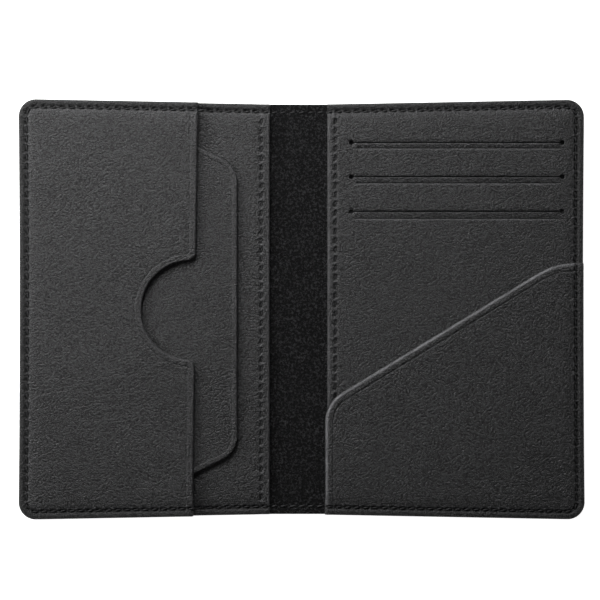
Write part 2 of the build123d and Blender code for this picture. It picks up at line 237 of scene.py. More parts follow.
def top_distance(x, y):
    across, along = along_mouth(x, y)
    from_middle = np.abs(along - notch_along)
    notch = np.hypot(across - notch_across, from_middle) - NOTCH_RADIUS
    centre = -NOTCH_CORNER, notch_corner_rise
    to_notch = notch_across + NOTCH_CORNER, -notch_corner_rise
    nearest = np.minimum(-across, notch)
    return rounded_off(nearest, across, from_middle, centre, NOTCH_CORNER, (1, 0), to_notch)


diagonal_slope = (diagonal_high_y - DIAGONAL_LOW_Y) / (DIAGONAL_HIGH_X - diagonal_edge)


def diagonal_distance(x, y):
    slant = hypot(1, diagonal_slope)
    down = diagonal_slope / slant, -1 / slant
    low = corner_distance(
        x, y, (diagonal_edge, DIAGONAL_LOW_Y), (down, (1, 0)), DIAGONAL_LOW_RADIUS
    )
    high = corner_distance(
        x, y, (DIAGONAL_HIGH_X, diagonal_high_y), ((0, -1), down), DIAGONAL_HIGH_RADIUS
    )
    return np.minimum(low, high)


def base_distance(x, y):
    return base_edge - x


def card_distance(x, y):
    return x - card_edge


def slit_distance(x, y):
    """How far a point is outside the card slits."""
    nearest = np.full(x.shape, FAR)
    half = SLIT_LENGTH / 2
    for height in slit_heights:
        along = np.abs(x - slit_centre)
        cut = np.maximum(np.abs(y - height) - SLIT_WIDTH / 2, along - half)
        hole = np.hypot(along - half, y - height) - SLIT_HOLE
        nearest = np.minimum(nearest, np.minimum(cut, hole))
    return nearest


# Paths: evenly spaced points along straight runs and arcs

def run(start, end, spacing):
    """Points along a straight run, without its end."""
    count = max(1, ceil(hypot(end[0] - start[0], end[1] - start[1]) / spacing))
    share = np.arange(count)[:, None] / count
    return np.array(start) * (1 - share) + np.array(end) * share


def arc(centre, radius, start, end, spacing):
    """Points along an arc between two angles, without its end."""
    count = max(3, ceil(abs(end - start) * radius / spacing))
    angle = start + (end - start) * np.arange(count) / count
    return np.stack((centre[0] + radius * np.cos(angle), centre[1] + radius * np.sin(angle)), 1)


def rounded_path(points, radii, spacing):
    """Points along straight runs whose corners are arcs."""
    pieces, start = [], np.array(points[0], float)
    for before, corner, after, radius in zip(points, points[1:], points[2:], radii):
        u = np.subtract(corner, before) / hypot(*np.subtract(corner, before))
        v = np.subtract(after, corner) / hypot(*np.subtract(after, corner))
        turn = atan2(u[0] * v[1] - u[1] * v[0], u @ v)
        enter = np.array(corner) - u * radius * tan(abs(turn) / 2)
        leftwards = np.array((-u[1], u[0])) * (1 if turn > 0 else -1)
        centre = enter + leftwards * radius
        angle = atan2(*(enter - centre)[::-1])
        pieces += [run(start, enter, spacing), arc(centre, radius, angle, angle + turn, spacing)]
        start = np.array(corner) + v * radius * tan(abs(turn) / 2)
    return np.concatenate((*pieces, run(start, points[-1], spacing)))


def cover_loop(inset, spacing):
    """The cover's outline, taken in all round, anticlockwise from the middle of its top."""
    corner = max(CORNER_RADIUS - inset, 0.0)
    bend = SPINE_HALF + inset * (end_slant - 1) / end_slope
    level = spine_half_height - inset
    enter = -corner_x + corner * end_slope / end_slant, corner_y + corner / end_slant
    first, last = atan2(1, end_slope), pi + atan2(corner_y, side_centre - corner_x)
    down = np.linspace(1, 0, ceil(corner_y / spacing) + 1) * corner_y
    down = down * (side_radius + inset) / (side_radius + CORNER_RADIUS)
    fore = np.sqrt((side_radius + inset) ** 2 - down**2) - side_centre
    quarter = np.concatenate((
        run((0, level), (-bend, level), spacing),
        run((-bend, level), enter, spacing),
        arc((-corner_x, corner_y), corner, first, last, spacing / 2),
        np.stack((fore, down), 1),
    ))
    half = np.concatenate((quarter[:-1], quarter[::-1] * (1, -1)))
    return np.concatenate((half[:-1], half[::-1][:-1] * (-1, 1)))


def straight_path(x):
    """The path of a straight edge beside the spine."""
    def path(spacing):
        return run((x, FAR), (x, -FAR), spacing)
    return path


base_mouth_path, card_mouth_path = straight_path(base_edge), straight_path(card_edge)
middle_of_spine_path = straight_path(0)


def middle_mouth_path(spacing):
    far_corner = middle_mouth - FAR, MIDDLE_CORNER_Y + FAR * MIDDLE_SLOPE
    corners = [
        far_corner,
        (middle_mouth, MIDDLE_CORNER_Y),
        (middle_mouth, -MIDDLE_CORNER_Y),
        (far_corner[0], -far_corner[1]),
    ]
    return rounded_path(corners, [MIDDLE_CORNER] * 2, spacing)


def top_mouth_path(spacing):
    turn = atan2(notch_corner_rise, notch_across + NOTCH_CORNER)
    upper, lower = notch_along + notch_corner_rise, notch_along - notch_corner_rise
    across, along = np.concatenate((
        run((0, FAR), (0, upper), spacing),
        arc((-NOTCH_CORNER, upper), NOTCH_CORNER, 0, -turn, spacing / 2),
        arc((notch_across, notch_along), NOTCH_RADIUS, pi - turn, pi + turn, spacing),
        arc((-NOTCH_CORNER, lower), NOTCH_CORNER, turn, 0, spacing / 2),
        run((0, lower), (0, -FAR), spacing),
    )).T
    x = TOP_MOUTH + across * cos(MOUTH_TILT) + along * sin(MOUTH_TILT)
    y = along * cos(MOUTH_TILT) - across * sin(MOUTH_TILT)
    return np.stack((x, y), 1)


def diagonal_mouth_path(spacing):
    corners = [
        (FAR, diagonal_high_y),
        (DIAGONAL_HIGH_X, diagonal_high_y),
        (diagonal_edge, DIAGONAL_LOW_Y),
        (diagonal_edge, -FAR),
    ]
    return rounded_path(corners, [DIAGONAL_HIGH_RADIUS, DIAGONAL_LOW_RADIUS], spacing)


def slit_loops():
    """Each slit's outline, clockwise, so that the leather lies outside it."""
    loops, half = [], SLIT_LENGTH / 2
    opening = np.arcsin(SLIT_WIDTH / 2 / SLIT_HOLE)
    neck = half - SLIT_HOLE * cos(opening)
    for height in slit_heights:
        upper, lower = height + SLIT_WIDTH / 2, height - SLIT_WIDTH / 2
        left, right = slit_centre - neck, slit_centre + neck
        loops.append(np.concatenate((
            run((left, upper), (right, upper), EDGE_SPACING),
            arc((slit_centre + half, height), SLIT_HOLE, pi - opening, opening - pi, 0.25),
            run((right, lower), (left, lower), EDGE_SPACING),
            arc((slit_centre - half, height), SLIT_HOLE, -opening, opening - 2 * pi, 0.25),
        )))
    return loops


# Stitches

def seam_places():
    """The perimeter seam's stitches, each as a point and the direction of the seam there."""
    loop = cover_loop(SEAM_INSET, 0.5)
    closed = np.concatenate((loop, loop[:1]))
    length = np.concatenate(([0], np.cumsum(np.hypot(*np.diff(closed, axis=0).T))))
    count = 2 * round(length[-1] / STITCH_PITCH / 2)
    middle = np.arange(count) / count * length[-1]
    place = np.stack([np.interp(middle, length, closed[:, i]) for i in (0, 1)], 1)
    ahead = np.stack([
        np.interp((middle + 0.3) % length[-1], length, closed[:, i]) for i in (0, 1)
    ], 1)
    way = (ahead - place) / np.hypot(*(ahead - place).T)[:, None]
    return np.concatenate((place, way), 1)


def straight_places(x):
    """The stitches of a seam beside the spine."""
    count = round(2 * SPINE_SEAM_HALF / STITCH_PITCH)
    y = (np.arange(count) + 0.5) / count * 2 * SPINE_SEAM_HALF - SPINE_SEAM_HALF
    return np.stack((np.full(count, x), y, np.zeros(count), np.ones(count)), 1)


perimeter_places = seam_places()
base_places = straight_places(BASE_SEAM)
card_places = straight_places(CARD_SEAM)


def from_stitch(x, y, places):
    """Along and across the seam from the nearest stitch's middle, leftwards positive."""
    away = np.hypot(x[:, None] - places[None, :, 0], y[:, None] - places[None, :, 1])
    near = places[away.argmin(1)]
    dx, dy = x - near[:, 0], y - near[:, 1]
    return dx * near[:, 2] + dy * near[:, 3], dy * near[:, 2] - dx * near[:, 3]


def stitch_shape(x, y, distance, places):
    """From 0 to 1: the pits where the thread lies, and the lumps of leather between them."""
    pits, lumps = np.zeros(x.shape), np.zeros(x.shape)
    near = np.abs(distance) < STITCH_REACH
    if near.any():
        along, across = from_stitch(x[near], y[near], places)
        slanted = across + 0.28 * along
        pits[near] = np.exp(-((along / 0.95) ** 4) - (slanted / 0.40) ** 2)
        between = np.abs(along) - STITCH_PITCH / 2
        lumps[near] = np.exp(-((between / 0.5) ** 2) - (across / 0.7) ** 2)
    return pits, lumps


def stitch_relief(x, y, distance, places):
    """The height of a seam's pits and lumps."""
    pits, lumps = stitch_shape(x, y, distance, places)
    return LUMP_HEIGHT * lumps - PIT_DEPTH * pits


def from_perimeter_seam(x, y):
    return cover_distance(x, y) - SEAM_INSET


def from_base_seam(x, y):
    return x - BASE_SEAM


def from_card_seam(x, y):
    return x - CARD_SEAM


# Profiles

# How far the leather rises inside the seam, from where and over what width
CROWN, CROWN_START, CROWN_WIDTH = 0.58, 3.0, 1.7


def rolled(distance, width, drop):
    """How far an edge rolls down over its last width."""
    t = np.clip(1 - distance / width, 0, 1)
    return drop * (1 - np.sqrt(1 - t * t))


def ridge(distance, middle, width):
    return np.exp(-(((distance - middle) / width) ** 2))


def crown(distance):
    """The padded rise of the leather inside the seam."""
    return CROWN * (1 - np.exp(-np.maximum(distance - CROWN_START, 0) / CROWN_WIDTH))


def rim_profile(distance):
    """The bead along the cover's edge, the seam's groove and the shoulder inside it."""
    bead = -rolled(distance, 1.1, 0.5)
    groove = -0.30 * smooth((distance - 1.35) / 0.85) * (1 - smooth((distance - 2.9) / 0.3))
    return bead + groove + crown(distance)


def mouth_profile(distance, crease_inset, roll=0.75, rim=0.14, pressed=0.17):
    """A folded mouth: a rolled edge, a rim raised a little, and a pressed crease behind it."""
    fold = -rolled(distance, roll, 0.6 * roll)
    raised = rim * (1 - smooth((distance - crease_inset + 0.25) / 0.5))
    crease = -pressed * ridge(distance, crease_inset, 0.21)
    return fold + raised + crease


def seam_edge_profile(distance, seam_inset):
    """A cut edge beside the spine, with a pressed seam behind it."""
    edge = -rolled(distance, 0.5, 0.3)
    groove = -0.16 * ridge(distance, seam_inset + 0.25, 0.55)
    return edge + groove


def suede_profile(distance):
    """The lining's rolled edge and its seam's groove."""
    return -rolled(distance, 0.8, 0.2) - 0.08 * ridge(distance, SEAM_INSET, 0.6)


def slit_profile(x, y):
    """The lip under each slit, which stands up, and the crease under the lip."""
    relief = np.zeros(x.shape)
    half = SLIT_LENGTH / 2
    for height, lip_width in zip(slit_heights, LIP_WIDTHS):
        below = height - y
        ends = smooth((half - 0.6 - np.abs(x - slit_centre)) / 1.2)
        lip = (below > 0) * (1 - smooth(below / lip_width))
        crease = ridge(below, lip_width, 0.22)
        sunk = (below <= 0) * ridge(below, 0, 0.7)
        relief += ends * (0.24 * lip - 0.2 * crease - 0.14 * sunk)
        hole = np.hypot(np.abs(x - slit_centre) - half, y - height) - SLIT_HOLE
        relief += -0.12 * np.exp(-np.maximum(hole, 0) / 0.35)
        # the leather is drawn up between a hole and the lip's crease
        fold = np.hypot((x - slit_centre + half - 1.5) / 1.0, (below - 0.9) / 0.7)
        relief += 0.16 * np.exp(-(fold**2))
    return relief


def grain(x, y, salt, height=0.04):
    """Leather's pebbles and soft unevenness, stronger towards the upper left."""
    strength = 1.15 - 0.35 * smooth((x - y + 60) / 200)
    fine = height * strength * (pebbles(x, y, 1.1, salt) - 0.6)
    broad = 0.07 * waves(x, y, 26, salt + 3) + 0.03 * waves(x, y, 9, salt + 5)
    return fine + broad


# Meshes

def inwards(path, loop=True):
    """Unit normals to the left of a path."""
    if loop:
        step = np.roll(path, -1, 0) - np.roll(path, 1, 0)
    else:
        step = np.gradient(path, axis=0)
    return np.stack((-step[:, 1], step[:, 0]), 1) / np.hypot(*step.T)[:, None]


def rows(path, distance, insets, side=1, loop=False):
    """Copies of a path, each moved in by an inset, where that leaves them that far in."""
    normal, found = inwards(path, loop) * side, []
    for inset in insets:
        moved = path + normal * inset
        right = np.abs(distance(moved[:, 0], moved[:, 1]) - inset) < 0.02
        found.append(moved[right])
    return np.concatenate(found)


def grid(low, high, spacing, seed):
    """Points in a triangular grid, each moved a little at random."""
    random = np.random.default_rng(seed)
    rise = spacing * 3**0.5 / 2
    y = np.arange(low[1], high[1], rise)
    x = np.arange(low[0], high[0], spacing)
    gx, gy = np.meshgrid(x, y)
    gx = gx + (np.arange(len(y)) % 2)[:, None] * spacing / 2
    points = np.stack((gx.ravel(), gy.ravel()), 1)
    return points + random.uniform(-0.16, 0.16, points.shape) * spacing


def thinned(kept, extra, clear):
    """The extra points that aren't near a kept point."""
    taken = set()
    for i, j in np.floor(kept / clear).astype(int):
        for a in (-1, 0, 1):
            for b in (-1, 0, 1):
                taken.add((i + a, j + b))
    free = [(i, j) not in taken for i, j in np.floor(extra / clear).astype(int)]
    return extra[np.array(free, bool)]


def crossing(start, end, distance):
    """Where a run crosses an edge."""
    for _ in range(40):
        middle = (start + end) / 2
        inside = distance(middle[0], middle[1]) > 0
        start, end = (middle, end) if inside else (start, middle)
    return start


def one_run(path, inside):
    """The points of a path that are inside an edge, in one run with its ends on the edge."""
    value = inside(path[:, 0], path[:, 1])
    kept = value > 1e-6
    if kept[0] and kept[-1]:
        first = np.nonzero(~kept)[0][-1] + 1
        path, kept = np.roll(path, -first, 0), np.roll(kept, -first)
    index = np.nonzero(kept)[0]
    start, end = index[0], index[-1]
    before, after = path[start - 1], path[(end + 1) % len(path)]
    first = crossing(path[start], before, inside)
    last = crossing(path[end], after, inside)
    body = path[start:end + 1]
    body = body[(np.hypot(*(body - first).T) > 0.1) & (np.hypot(*(body - last).T) > 0.1)]
    return np.concatenate(([first], body, [last]))


def panel_loop(mouth_path, mouth_distance, spacing=EDGE_SPACING, inset=0.0):
    """A panel's outline: the cover's outline, closed along the panel's mouth."""
    along_cover = one_run(cover_loop(inset, spacing), mouth_distance)

    def inside_cover(x, y):
        return cover_distance(x, y) - inset

    along_mouth = one_run(mouth_path(spacing), inside_cover)
    from_start, from_end = along_mouth[[0, -1]] - along_cover[-1]
    if hypot(*from_start) > hypot(*from_end):
        along_mouth = along_mouth[::-1]
    return np.concatenate((along_cover, along_mouth[1:-1]))


def signed_area(loop):
    """A loop's area, negative when it runs clockwise."""
    x, y = loop.T
    return np.sum(x * np.roll(y, -1) - y * np.roll(x, -1)) / 2


INSIDE = 1  # the triangulation's output type that keeps only what the loops enclose


def triangles(points, loops):
    """Anticlockwise triangles over points whose first ones are loops: an outline, then holes."""
    outlines, start = [], 0
    for loop in loops:
        outline = list(range(start, start + len(loop)))
        outlines.append(outline if signed_area(loop) > 0 else outline[::-1])
        start += len(loop)
    vectors = [Vector(p) for p in points]
    made, _, faces, origins, _, within = delaunay_2d_cdt(vectors, [], outlines, INSIDE, 1e-5)
    faces = [face for face, found in zip(faces, within) if max(found) == 0]
    old_to_new = np.full(len(points), -1)
    for new, olds in enumerate(origins):
        for old in olds:
            old_to_new[old] = new
    return np.array([tuple(p) for p in made]), np.array(faces), old_to_new


def new_mesh(name, vertices, faces, marks, sharp=()):
    """An object made of vertices in millimetres, with its marks as attributes."""
    mesh = bpy.data.meshes.new(name)
    mesh.from_pydata((vertices * MM).tolist(), [], faces)
    place = mesh.attributes.new("place", "FLOAT_VECTOR", "POINT")
    place.data.foreach_set("vector", vertices.astype(np.float32).ravel())
    for mark, values in marks.items():
        layer = mesh.attributes.new(mark, "FLOAT", "POINT")
        layer.data.foreach_set("value", np.asarray(values, np.float32))
    mesh.polygons.foreach_set("use_smooth", np.ones(len(mesh.polygons), bool))
    if len(sharp):
        is_sharp = np.zeros(len(vertices), bool)
        is_sharp[sharp] = True
        ends = np.zeros(len(mesh.edges) * 2, np.int32)
        mesh.edges.foreach_get("vertices", ends)
        layer = mesh.attributes.new("sharp_edge", "BOOLEAN", "EDGE")
        layer.data.foreach_set("value", is_sharp[ends.reshape(-1, 2)].all(1))
    mesh.update()
    piece = bpy.data.objects.new(name, mesh)
    bpy.context.scene.collection.objects.link(piece)
    return piece


def build_sheet(name, loops, top_points, bottom_points, top, bottom, marks=None):
    """A closed sheet: a top and a bottom over the same outline, joined by a wall."""
    outline = np.concatenate(loops)
    sides = []
    for extra in (top_points, bottom_points):
        points = np.concatenate((outline, extra)) if len(extra) else outline
        sides.append(triangles(points, loops))
    (upper, upper_faces, upper_map), (lower, lower_faces, lower_map) = sides
    upper_z, lower_z = top(*upper.T), bottom(*lower.T)
    shift = len(upper)
    vertices = np.concatenate((
        np.column_stack((upper, upper_z)), np.column_stack((lower, lower_z)),
    ))
    faces = upper_faces.tolist() + (lower_faces[:, ::-1] + shift).tolist()
    start, rim = 0, []
    for loop in loops:
        above = upper_map[start:start + len(loop)]
        below = lower_map[start:start + len(loop)] + shift
        if (signed_area(loop) > 0) == (start > 0):
            above, below = above[::-1], below[::-1]
        for i in range(len(loop)):
            j = (i + 1) % len(loop)
            faces.append([below[i], below[j], above[j], above[i]])
        rim += [below, above[np.abs(vertices[above, 0]) < 0.01]]
        start += len(loop)
    # The marks: painted highlight, partly real wear, and painted shade, zero where not given.
    given = {"worn": np.zeros(len(vertices)), "dark": np.zeros(len(vertices))}
    if marks:
        for mark, values in marks(*upper.T).items():
            given[mark][:shift] = values
        for mark, values in marks(*lower.T).items():
            given[mark][shift:] = values
    return new_mesh(name, vertices, faces, given, np.concatenate(rim))


def fill_points(loops, families, inside, shown, spacing, seed):
    """The points inside a panel: its feature rows, then a grid that is finer where it shows."""
    kept = np.concatenate(loops)
    for family in families:
        distance = inside(family[:, 0], family[:, 1])
        family = family[distance > 0.03]
        family = thinned(kept, family, 0.16)
        kept = np.concatenate((kept, family))
    low, high = kept.min(0), kept.max(0)
    fine = grid(low, high, spacing, seed)
    fine = fine[(inside(*fine.T) > 0.3) & (shown(*fine.T) > -1.0)]
    kept = np.concatenate((kept, thinned(kept, fine, spacing * 0.42)))
    coarse = grid(low, high, HIDDEN_SPACING, seed + 1)
    coarse = coarse[(inside(*coarse.T) > 0.5) & (shown(*coarse.T) <= -1.0)]
    kept = np.concatenate((kept, thinned(kept, coarse, 0.8)))
    return kept[sum(len(loop) for loop in loops):]


EDGE_ROWS = (0.05, 0.14, 0.28, 0.48, 0.75, 1.1)
RIM_ROWS = (1.4, 1.65)
SEAM_ROWS = tuple(SEAM_INSET + 0.17 * k for k in range(-4, 5))
SHOULDER_ROWS = (3.35, 3.6, 4.0, 4.5, 5.1)
CREASE_ROWS = tuple(0.14 * k for k in range(-3, 4))
HEM_ROWS = HEM_WIDTH - 0.05, HEM_WIDTH + 0.05


def cover_rows():
    """Rows along the cover's edge: its bead, its seam and its shoulder."""
    plain = cover_loop(0, EDGE_SPACING)
    dense = cover_loop(0, SEAM_SPACING)
    return np.concatenate((
        rows(plain, cover_distance, EDGE_ROWS + RIM_ROWS, loop=True),
        rows(dense, cover_distance, SEAM_ROWS, loop=True),
        rows(plain, cover_distance, SHOULDER_ROWS, loop=True),
    ))


def moved_in(path, distance, insets, spacing=EDGE_SPACING):
    """Rows along a mouth, on the panel's side of it."""
    made = path(spacing)
    ahead = made[len(made) // 2] + inwards(made, loop=False)[len(made) // 2] * 0.3
    return rows(made, distance, insets, 1 if distance(*ahead) > 0 else -1)


def mouth_rows(path, distance, crease=None):
    """Rows along a mouth: its rolled edge, and its crease."""
    insets = EDGE_ROWS
    if crease:
        insets = insets + tuple(crease + offset for offset in CREASE_ROWS)
    return moved_in(path, distance, insets)


def seam_rows(x):
    """Rows along a seam beside the spine."""
    made = []
    for offset in (-0.9, -0.6, -0.4, -0.2, 0.0, 0.2, 0.4, 0.6, 0.9):
        made.append(run((x + offset, 66), (x + offset, -66), SEAM_SPACING))
    return np.concatenate(made)


def everywhere(x, y):
    """As a panel's showing part: all of it."""
    return np.full(np.shape(x), FAR)


# Materials

def material(name):
    """A new material, its node tree and its Principled shader."""
    made = bpy.data.materials.new(name)
    made.use_nodes = True
    return made, made.node_tree, made.node_tree.nodes["Principled BSDF"]


def scaled(shade, share):
    return tuple(share * c for c in shade)


def node(tree, kind, **values):
    """A new node with its properties set."""
    made = tree.nodes.new(kind)
    for key, value in values.items():
        setattr(made, key, value)
    return made


def math_node(tree, operation, first, second):
    made = node(tree, "ShaderNodeMath", operation=operation)
    for socket, value in zip(made.inputs, (first, second)):
        if isinstance(value, (int, float)):
            socket.default_value = value
        else:
            tree.links.new(value, socket)
    return made.outputs[0]


def ramp(tree, source, low, high, low_value, high_value):
    """A value that goes from low_value to high_value as the source goes from low to high."""
    made = node(tree, "ShaderNodeMapRange", clamp=True)
    tree.links.new(source, made.inputs["Value"])
    for name, value in zip(
        ("From Min", "From Max", "To Min", "To Max"), (low, high, low_value, high_value)
    ):
        made.inputs[name].default_value = value
    return made.outputs[0]


def attribute(tree, name, output="Fac"):
    return node(tree, "ShaderNodeAttribute", attribute_name=name).outputs[output]


def noise(tree, place, scale, detail=4.0, roughness=0.55, distortion=0.0):
    made = node(tree, "ShaderNodeTexNoise")
    tree.links.new(place, made.inputs["Vector"])
    made.inputs["Scale"].default_value = scale
    made.inputs["Detail"].default_value = detail
    made.inputs["Roughness"].default_value = roughness
    made.inputs["Distortion"].default_value = distortion
    return made.outputs["Fac"]


def cells(tree, place, scale):
    """The distance to the nearest edge between cells."""
    made = node(tree, "ShaderNodeTexVoronoi", feature="DISTANCE_TO_EDGE")
    tree.links.new(place, made.inputs["Vector"])
    made.inputs["Scale"].default_value = scale
    return made.outputs["Distance"]


def mixed_colour(tree, share, first, second):
    made = node(tree, "ShaderNodeMix", data_type="RGBA")
    tree.links.new(share, made.inputs["Factor"])
    for socket, value in ((made.inputs[6], first), (made.inputs[7], second)):
        if isinstance(value, tuple):
            socket.default_value = (*value, 1)
        else:
            tree.links.new(value, socket)
    return made.outputs[2]


def bumped(tree, shader, height, strength, distance):
    made = node(tree, "ShaderNodeBump")
    made.inputs["Strength"].default_value = strength
    made.inputs["Distance"].default_value = distance
    tree.links.new(height, made.inputs["Height"])
    tree.links.new(made.outputs["Normal"], shader.inputs["Normal"])


def warped(tree, place, scale, amount):
    """A place pushed about by noise, so that grain isn't regular."""
    made = node(tree, "ShaderNodeTexNoise")
    tree.links.new(place, made.inputs["Vector"])
    made.inputs["Scale"].default_value = scale
    made.inputs["Detail"].default_value = 2.0
    shift = node(tree, "ShaderNodeVectorMath", operation="SCALE")
    tree.links.new(made.outputs["Color"], shift.inputs[0])
    shift.inputs["Scale"].default_value = amount
    added = node(tree, "ShaderNodeVectorMath", operation="ADD")
    tree.links.new(place, added.inputs[0])
    tree.links.new(shift.outputs[0], added.inputs[1])
    return added.outputs[0]


def leather_material(name, shade, pebble=1.0, relief=0.145, shine=0.42):
    """Black pebbled leather, with painted highlights along its edges, partly real wear, and painted
    shade in its furrows, grooves and stitch holes.
    """
    made, tree, shader = material(name)
    place = attribute(tree, "place", "Vector")
    bent = warped(tree, place, 0.9, 0.35)
    pebble_edge = cells(tree, bent, pebble)
    furrow = ramp(tree, pebble_edge, 0.0, 0.16, 0.0, 1.0)
    small = ramp(tree, cells(tree, bent, pebble * 2.1), 0.0, 0.2, 0.0, 1.0)
    wrinkle = noise(tree, place, 0.8, 5.0, 0.6, 0.2)
    pores = noise(tree, place, 4.5, 3.0, 0.6)
    height = math_node(tree, "MULTIPLY", furrow, 0.42)
    height = math_node(tree, "ADD", height, math_node(tree, "MULTIPLY", small, 0.2))
    height = math_node(tree, "ADD", height, math_node(tree, "MULTIPLY", wrinkle, 0.5))
    height = math_node(tree, "ADD", height, math_node(tree, "MULTIPLY", pores, 0.22))
    patches = ramp(tree, noise(tree, place, 0.06, 3.0), 0.3, 0.7, 0.85, 1.15)
    speckle = ramp(tree, noise(tree, bent, 1.85, 2.0, 0.5), 0.38, 0.62, 0.0, 1.0)
    dark = scaled(shade, 0.12)
    light = scaled(shade, 1.85)
    colour = mixed_colour(tree, math_node(tree, "MULTIPLY", speckle, patches), dark, light)
    height = math_node(tree, "ADD", height, math_node(tree, "MULTIPLY", speckle, 0.9))
    bumped(tree, shader, height, 1.0, relief * MM)
    # Painted shade: the grain's furrows are darkened where shadow would lie.
    colour = mixed_colour(tree, ramp(tree, furrow, 0.0, 1.0, 0.45, 0.0), colour, (0.004,) * 3)
    # Painted highlight, partly real edge wear: mouths, creases, slit lips and stitch lumps are lightened
    # to nine times the leather's shade.
    colour = mixed_colour(tree, attribute(tree, "worn"), colour, scaled(shade, 9.0))
    # Painted shade: the bead, the seam's groove and the stitch holes are blackened where shade falls.
    colour = mixed_colour(tree, attribute(tree, "dark"), colour, (0.0015, 0.0015, 0.0015))
    tree.links.new(colour, shader.inputs["Base Color"])
    gloss = ramp(tree, wrinkle, 0.3, 0.7, shine - 0.05, shine + 0.07)
    gloss = math_node(tree, "ADD", gloss, ramp(tree, furrow, 0.0, 1.0, 0.14, 0.0))
    gloss = math_node(tree, "ADD", gloss, math_node(
        tree, "MULTIPLY", attribute(tree, "dark"), 0.4))
    tree.links.new(gloss, shader.inputs["Roughness"])
    return made


def suede_material(name, shade):
    """Napped suede: matt, with a painted highlight on its fibre tips, and brushed patches."""
    made, tree, shader = material(name)
    place = attribute(tree, "place", "Vector")
    nap = noise(tree, place, 1.3, 5.0, 0.75, 0.8)
    patches = noise(tree, place, 0.16, 4.0, 0.6, 1.5)
    tips = ramp(tree, noise(tree, place, 1.4, 4.0, 0.75, 0.5), 0.51, 0.63, 0.0, 1.0)
    dark = scaled(shade, 0.35)
    colour = mixed_colour(tree, ramp(tree, nap, 0.3, 0.7, 0.0, 1.0), dark, shade)
    colour = mixed_colour(tree, ramp(tree, patches, 0.3, 0.7, 0.0, 0.5), colour, dark)
    # Painted highlight: the fibre tips are coloured seven times lighter, as if catching the light.
    lit = scaled(shade, 7.0)
    colour = mixed_colour(tree, math_node(tree, "MULTIPLY", tips, 0.9), colour, lit)
    tree.links.new(colour, shader.inputs["Base Color"])
    shader.inputs["Roughness"].default_value = 1.0
    shader.inputs["Specular IOR Level"].default_value = 0.12
    shader.inputs["Sheen Weight"].default_value = 0.05
    shader.inputs["Sheen Roughness"].default_value = 0.4
    height = math_node(tree, "ADD", math_node(tree, "MULTIPLY", nap, 1.0), tips)
    bumped(tree, shader, height, 1.0, 0.3 * MM)
    return made


def thread_material(name, shade):
    """Waxed polyester thread: dark, with a soft sheen along its twist."""
    made, tree, shader = material(name)
    place = attribute(tree, "place", "Vector")
    fibres = noise(tree, place, 9.0, 3.0, 0.7)
    dark = scaled(shade, 0.4)
    colour = mixed_colour(tree, ramp(tree, fibres, 0.3, 0.7, 0.0, 1.0), dark, shade)
    tree.links.new(colour, shader.inputs["Base Color"])
    tree.links.new(ramp(tree, fibres, 0.3, 0.7, 0.5, 0.72), shader.inputs["Roughness"])
    bumped(tree, shader, fibres, 0.7, 0.05 * MM)
    return made


def cloth_material(name, shade, threads=2.4):
    """Thin plain-woven lining."""
    made, tree, shader = material(name)
    place = node(tree, "ShaderNodeTexCoord").outputs["Object"]
    waves_found = []
    for direction in ("X", "Y"):
        wave = node(tree, "ShaderNodeTexWave", bands_direction=direction)
        tree.links.new(place, wave.inputs["Vector"])
        wave.inputs["Scale"].default_value = threads / MM / 6
        wave.inputs["Distortion"].default_value = 0.4
        waves_found.append(wave.outputs["Fac"])
    weave = math_node(tree, "MULTIPLY", *waves_found)
    dark = scaled(shade, 0.5)
    tree.links.new(mixed_colour(tree, weave, dark, shade), shader.inputs["Base Color"])
    tree.links.new(ramp(tree, weave, 0, 1, 0.75, 0.6), shader.inputs["Roughness"])
    bumped(tree, shader, weave, 0.6, 0.05 * MM)
    return made


def board_material(name, shade):
    """Grey fibre board."""
    made, tree, shader = material(name)
    place = node(tree, "ShaderNodeTexCoord").outputs["Object"]
    fibres = noise(tree, place, 0.9 / MM, 6.0, 0.7)
    dark = scaled(shade, 0.6)
    tree.links.new(mixed_colour(tree, fibres, dark, shade), shader.inputs["Base Color"])
    tree.links.new(ramp(tree, fibres, 0, 1, 0.9, 0.75), shader.inputs["Roughness"])
    bumped(tree, shader, fibres, 0.5, 0.05 * MM)
    return made


BLACK = (0.022, 0.022, 0.023)
leather = leather_material("pebbled_leather", BLACK)
smooth_leather = leather_material("smooth_leather", BLACK, pebble=1.1, relief=0.11, shine=0.46)
suede = suede_material("black_suede", (0.010, 0.010, 0.0105))
thread = thread_material("black_thread", (0.014, 0.014, 0.015))
pocket_cloth = cloth_material("pocket_cloth", (0.02, 0.02, 0.022))
board = board_material("fibre_board", (0.16, 0.15, 0.14))


def finished(piece, finish, nodes, body=None):
    """Gives a piece its material in a slot, hides the CAD nodes it stands in for, and attaches it to its
    body when one is given.
    """
    piece.data.materials.append(finish)
    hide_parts(*nodes)
    if body:
        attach(piece, body)
    return piece


def bends_at_spine(piece):
    """Bakes a piece's placement into its mesh."""
    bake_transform(piece)


SIDES = (("front", -1), ("back", 1))


# The leather panels

def slit_highlights(x, y):
    """Painted highlights: the light line just under each slit's crease and along its lip, where they
    face the light.
    """
    worn = np.zeros(x.shape)
    for height, lip_width in zip(slit_heights, LIP_WIDTHS):
        ends = smooth((SLIT_LENGTH / 2 - 0.6 - np.abs(x - slit_centre)) / 1.2)
        worn += ends * 0.13 * ridge(height - y, lip_width + 0.2, 0.22)
        worn += ends * 0.07 * ridge(height - y, 0.5, 0.2)
    return worn


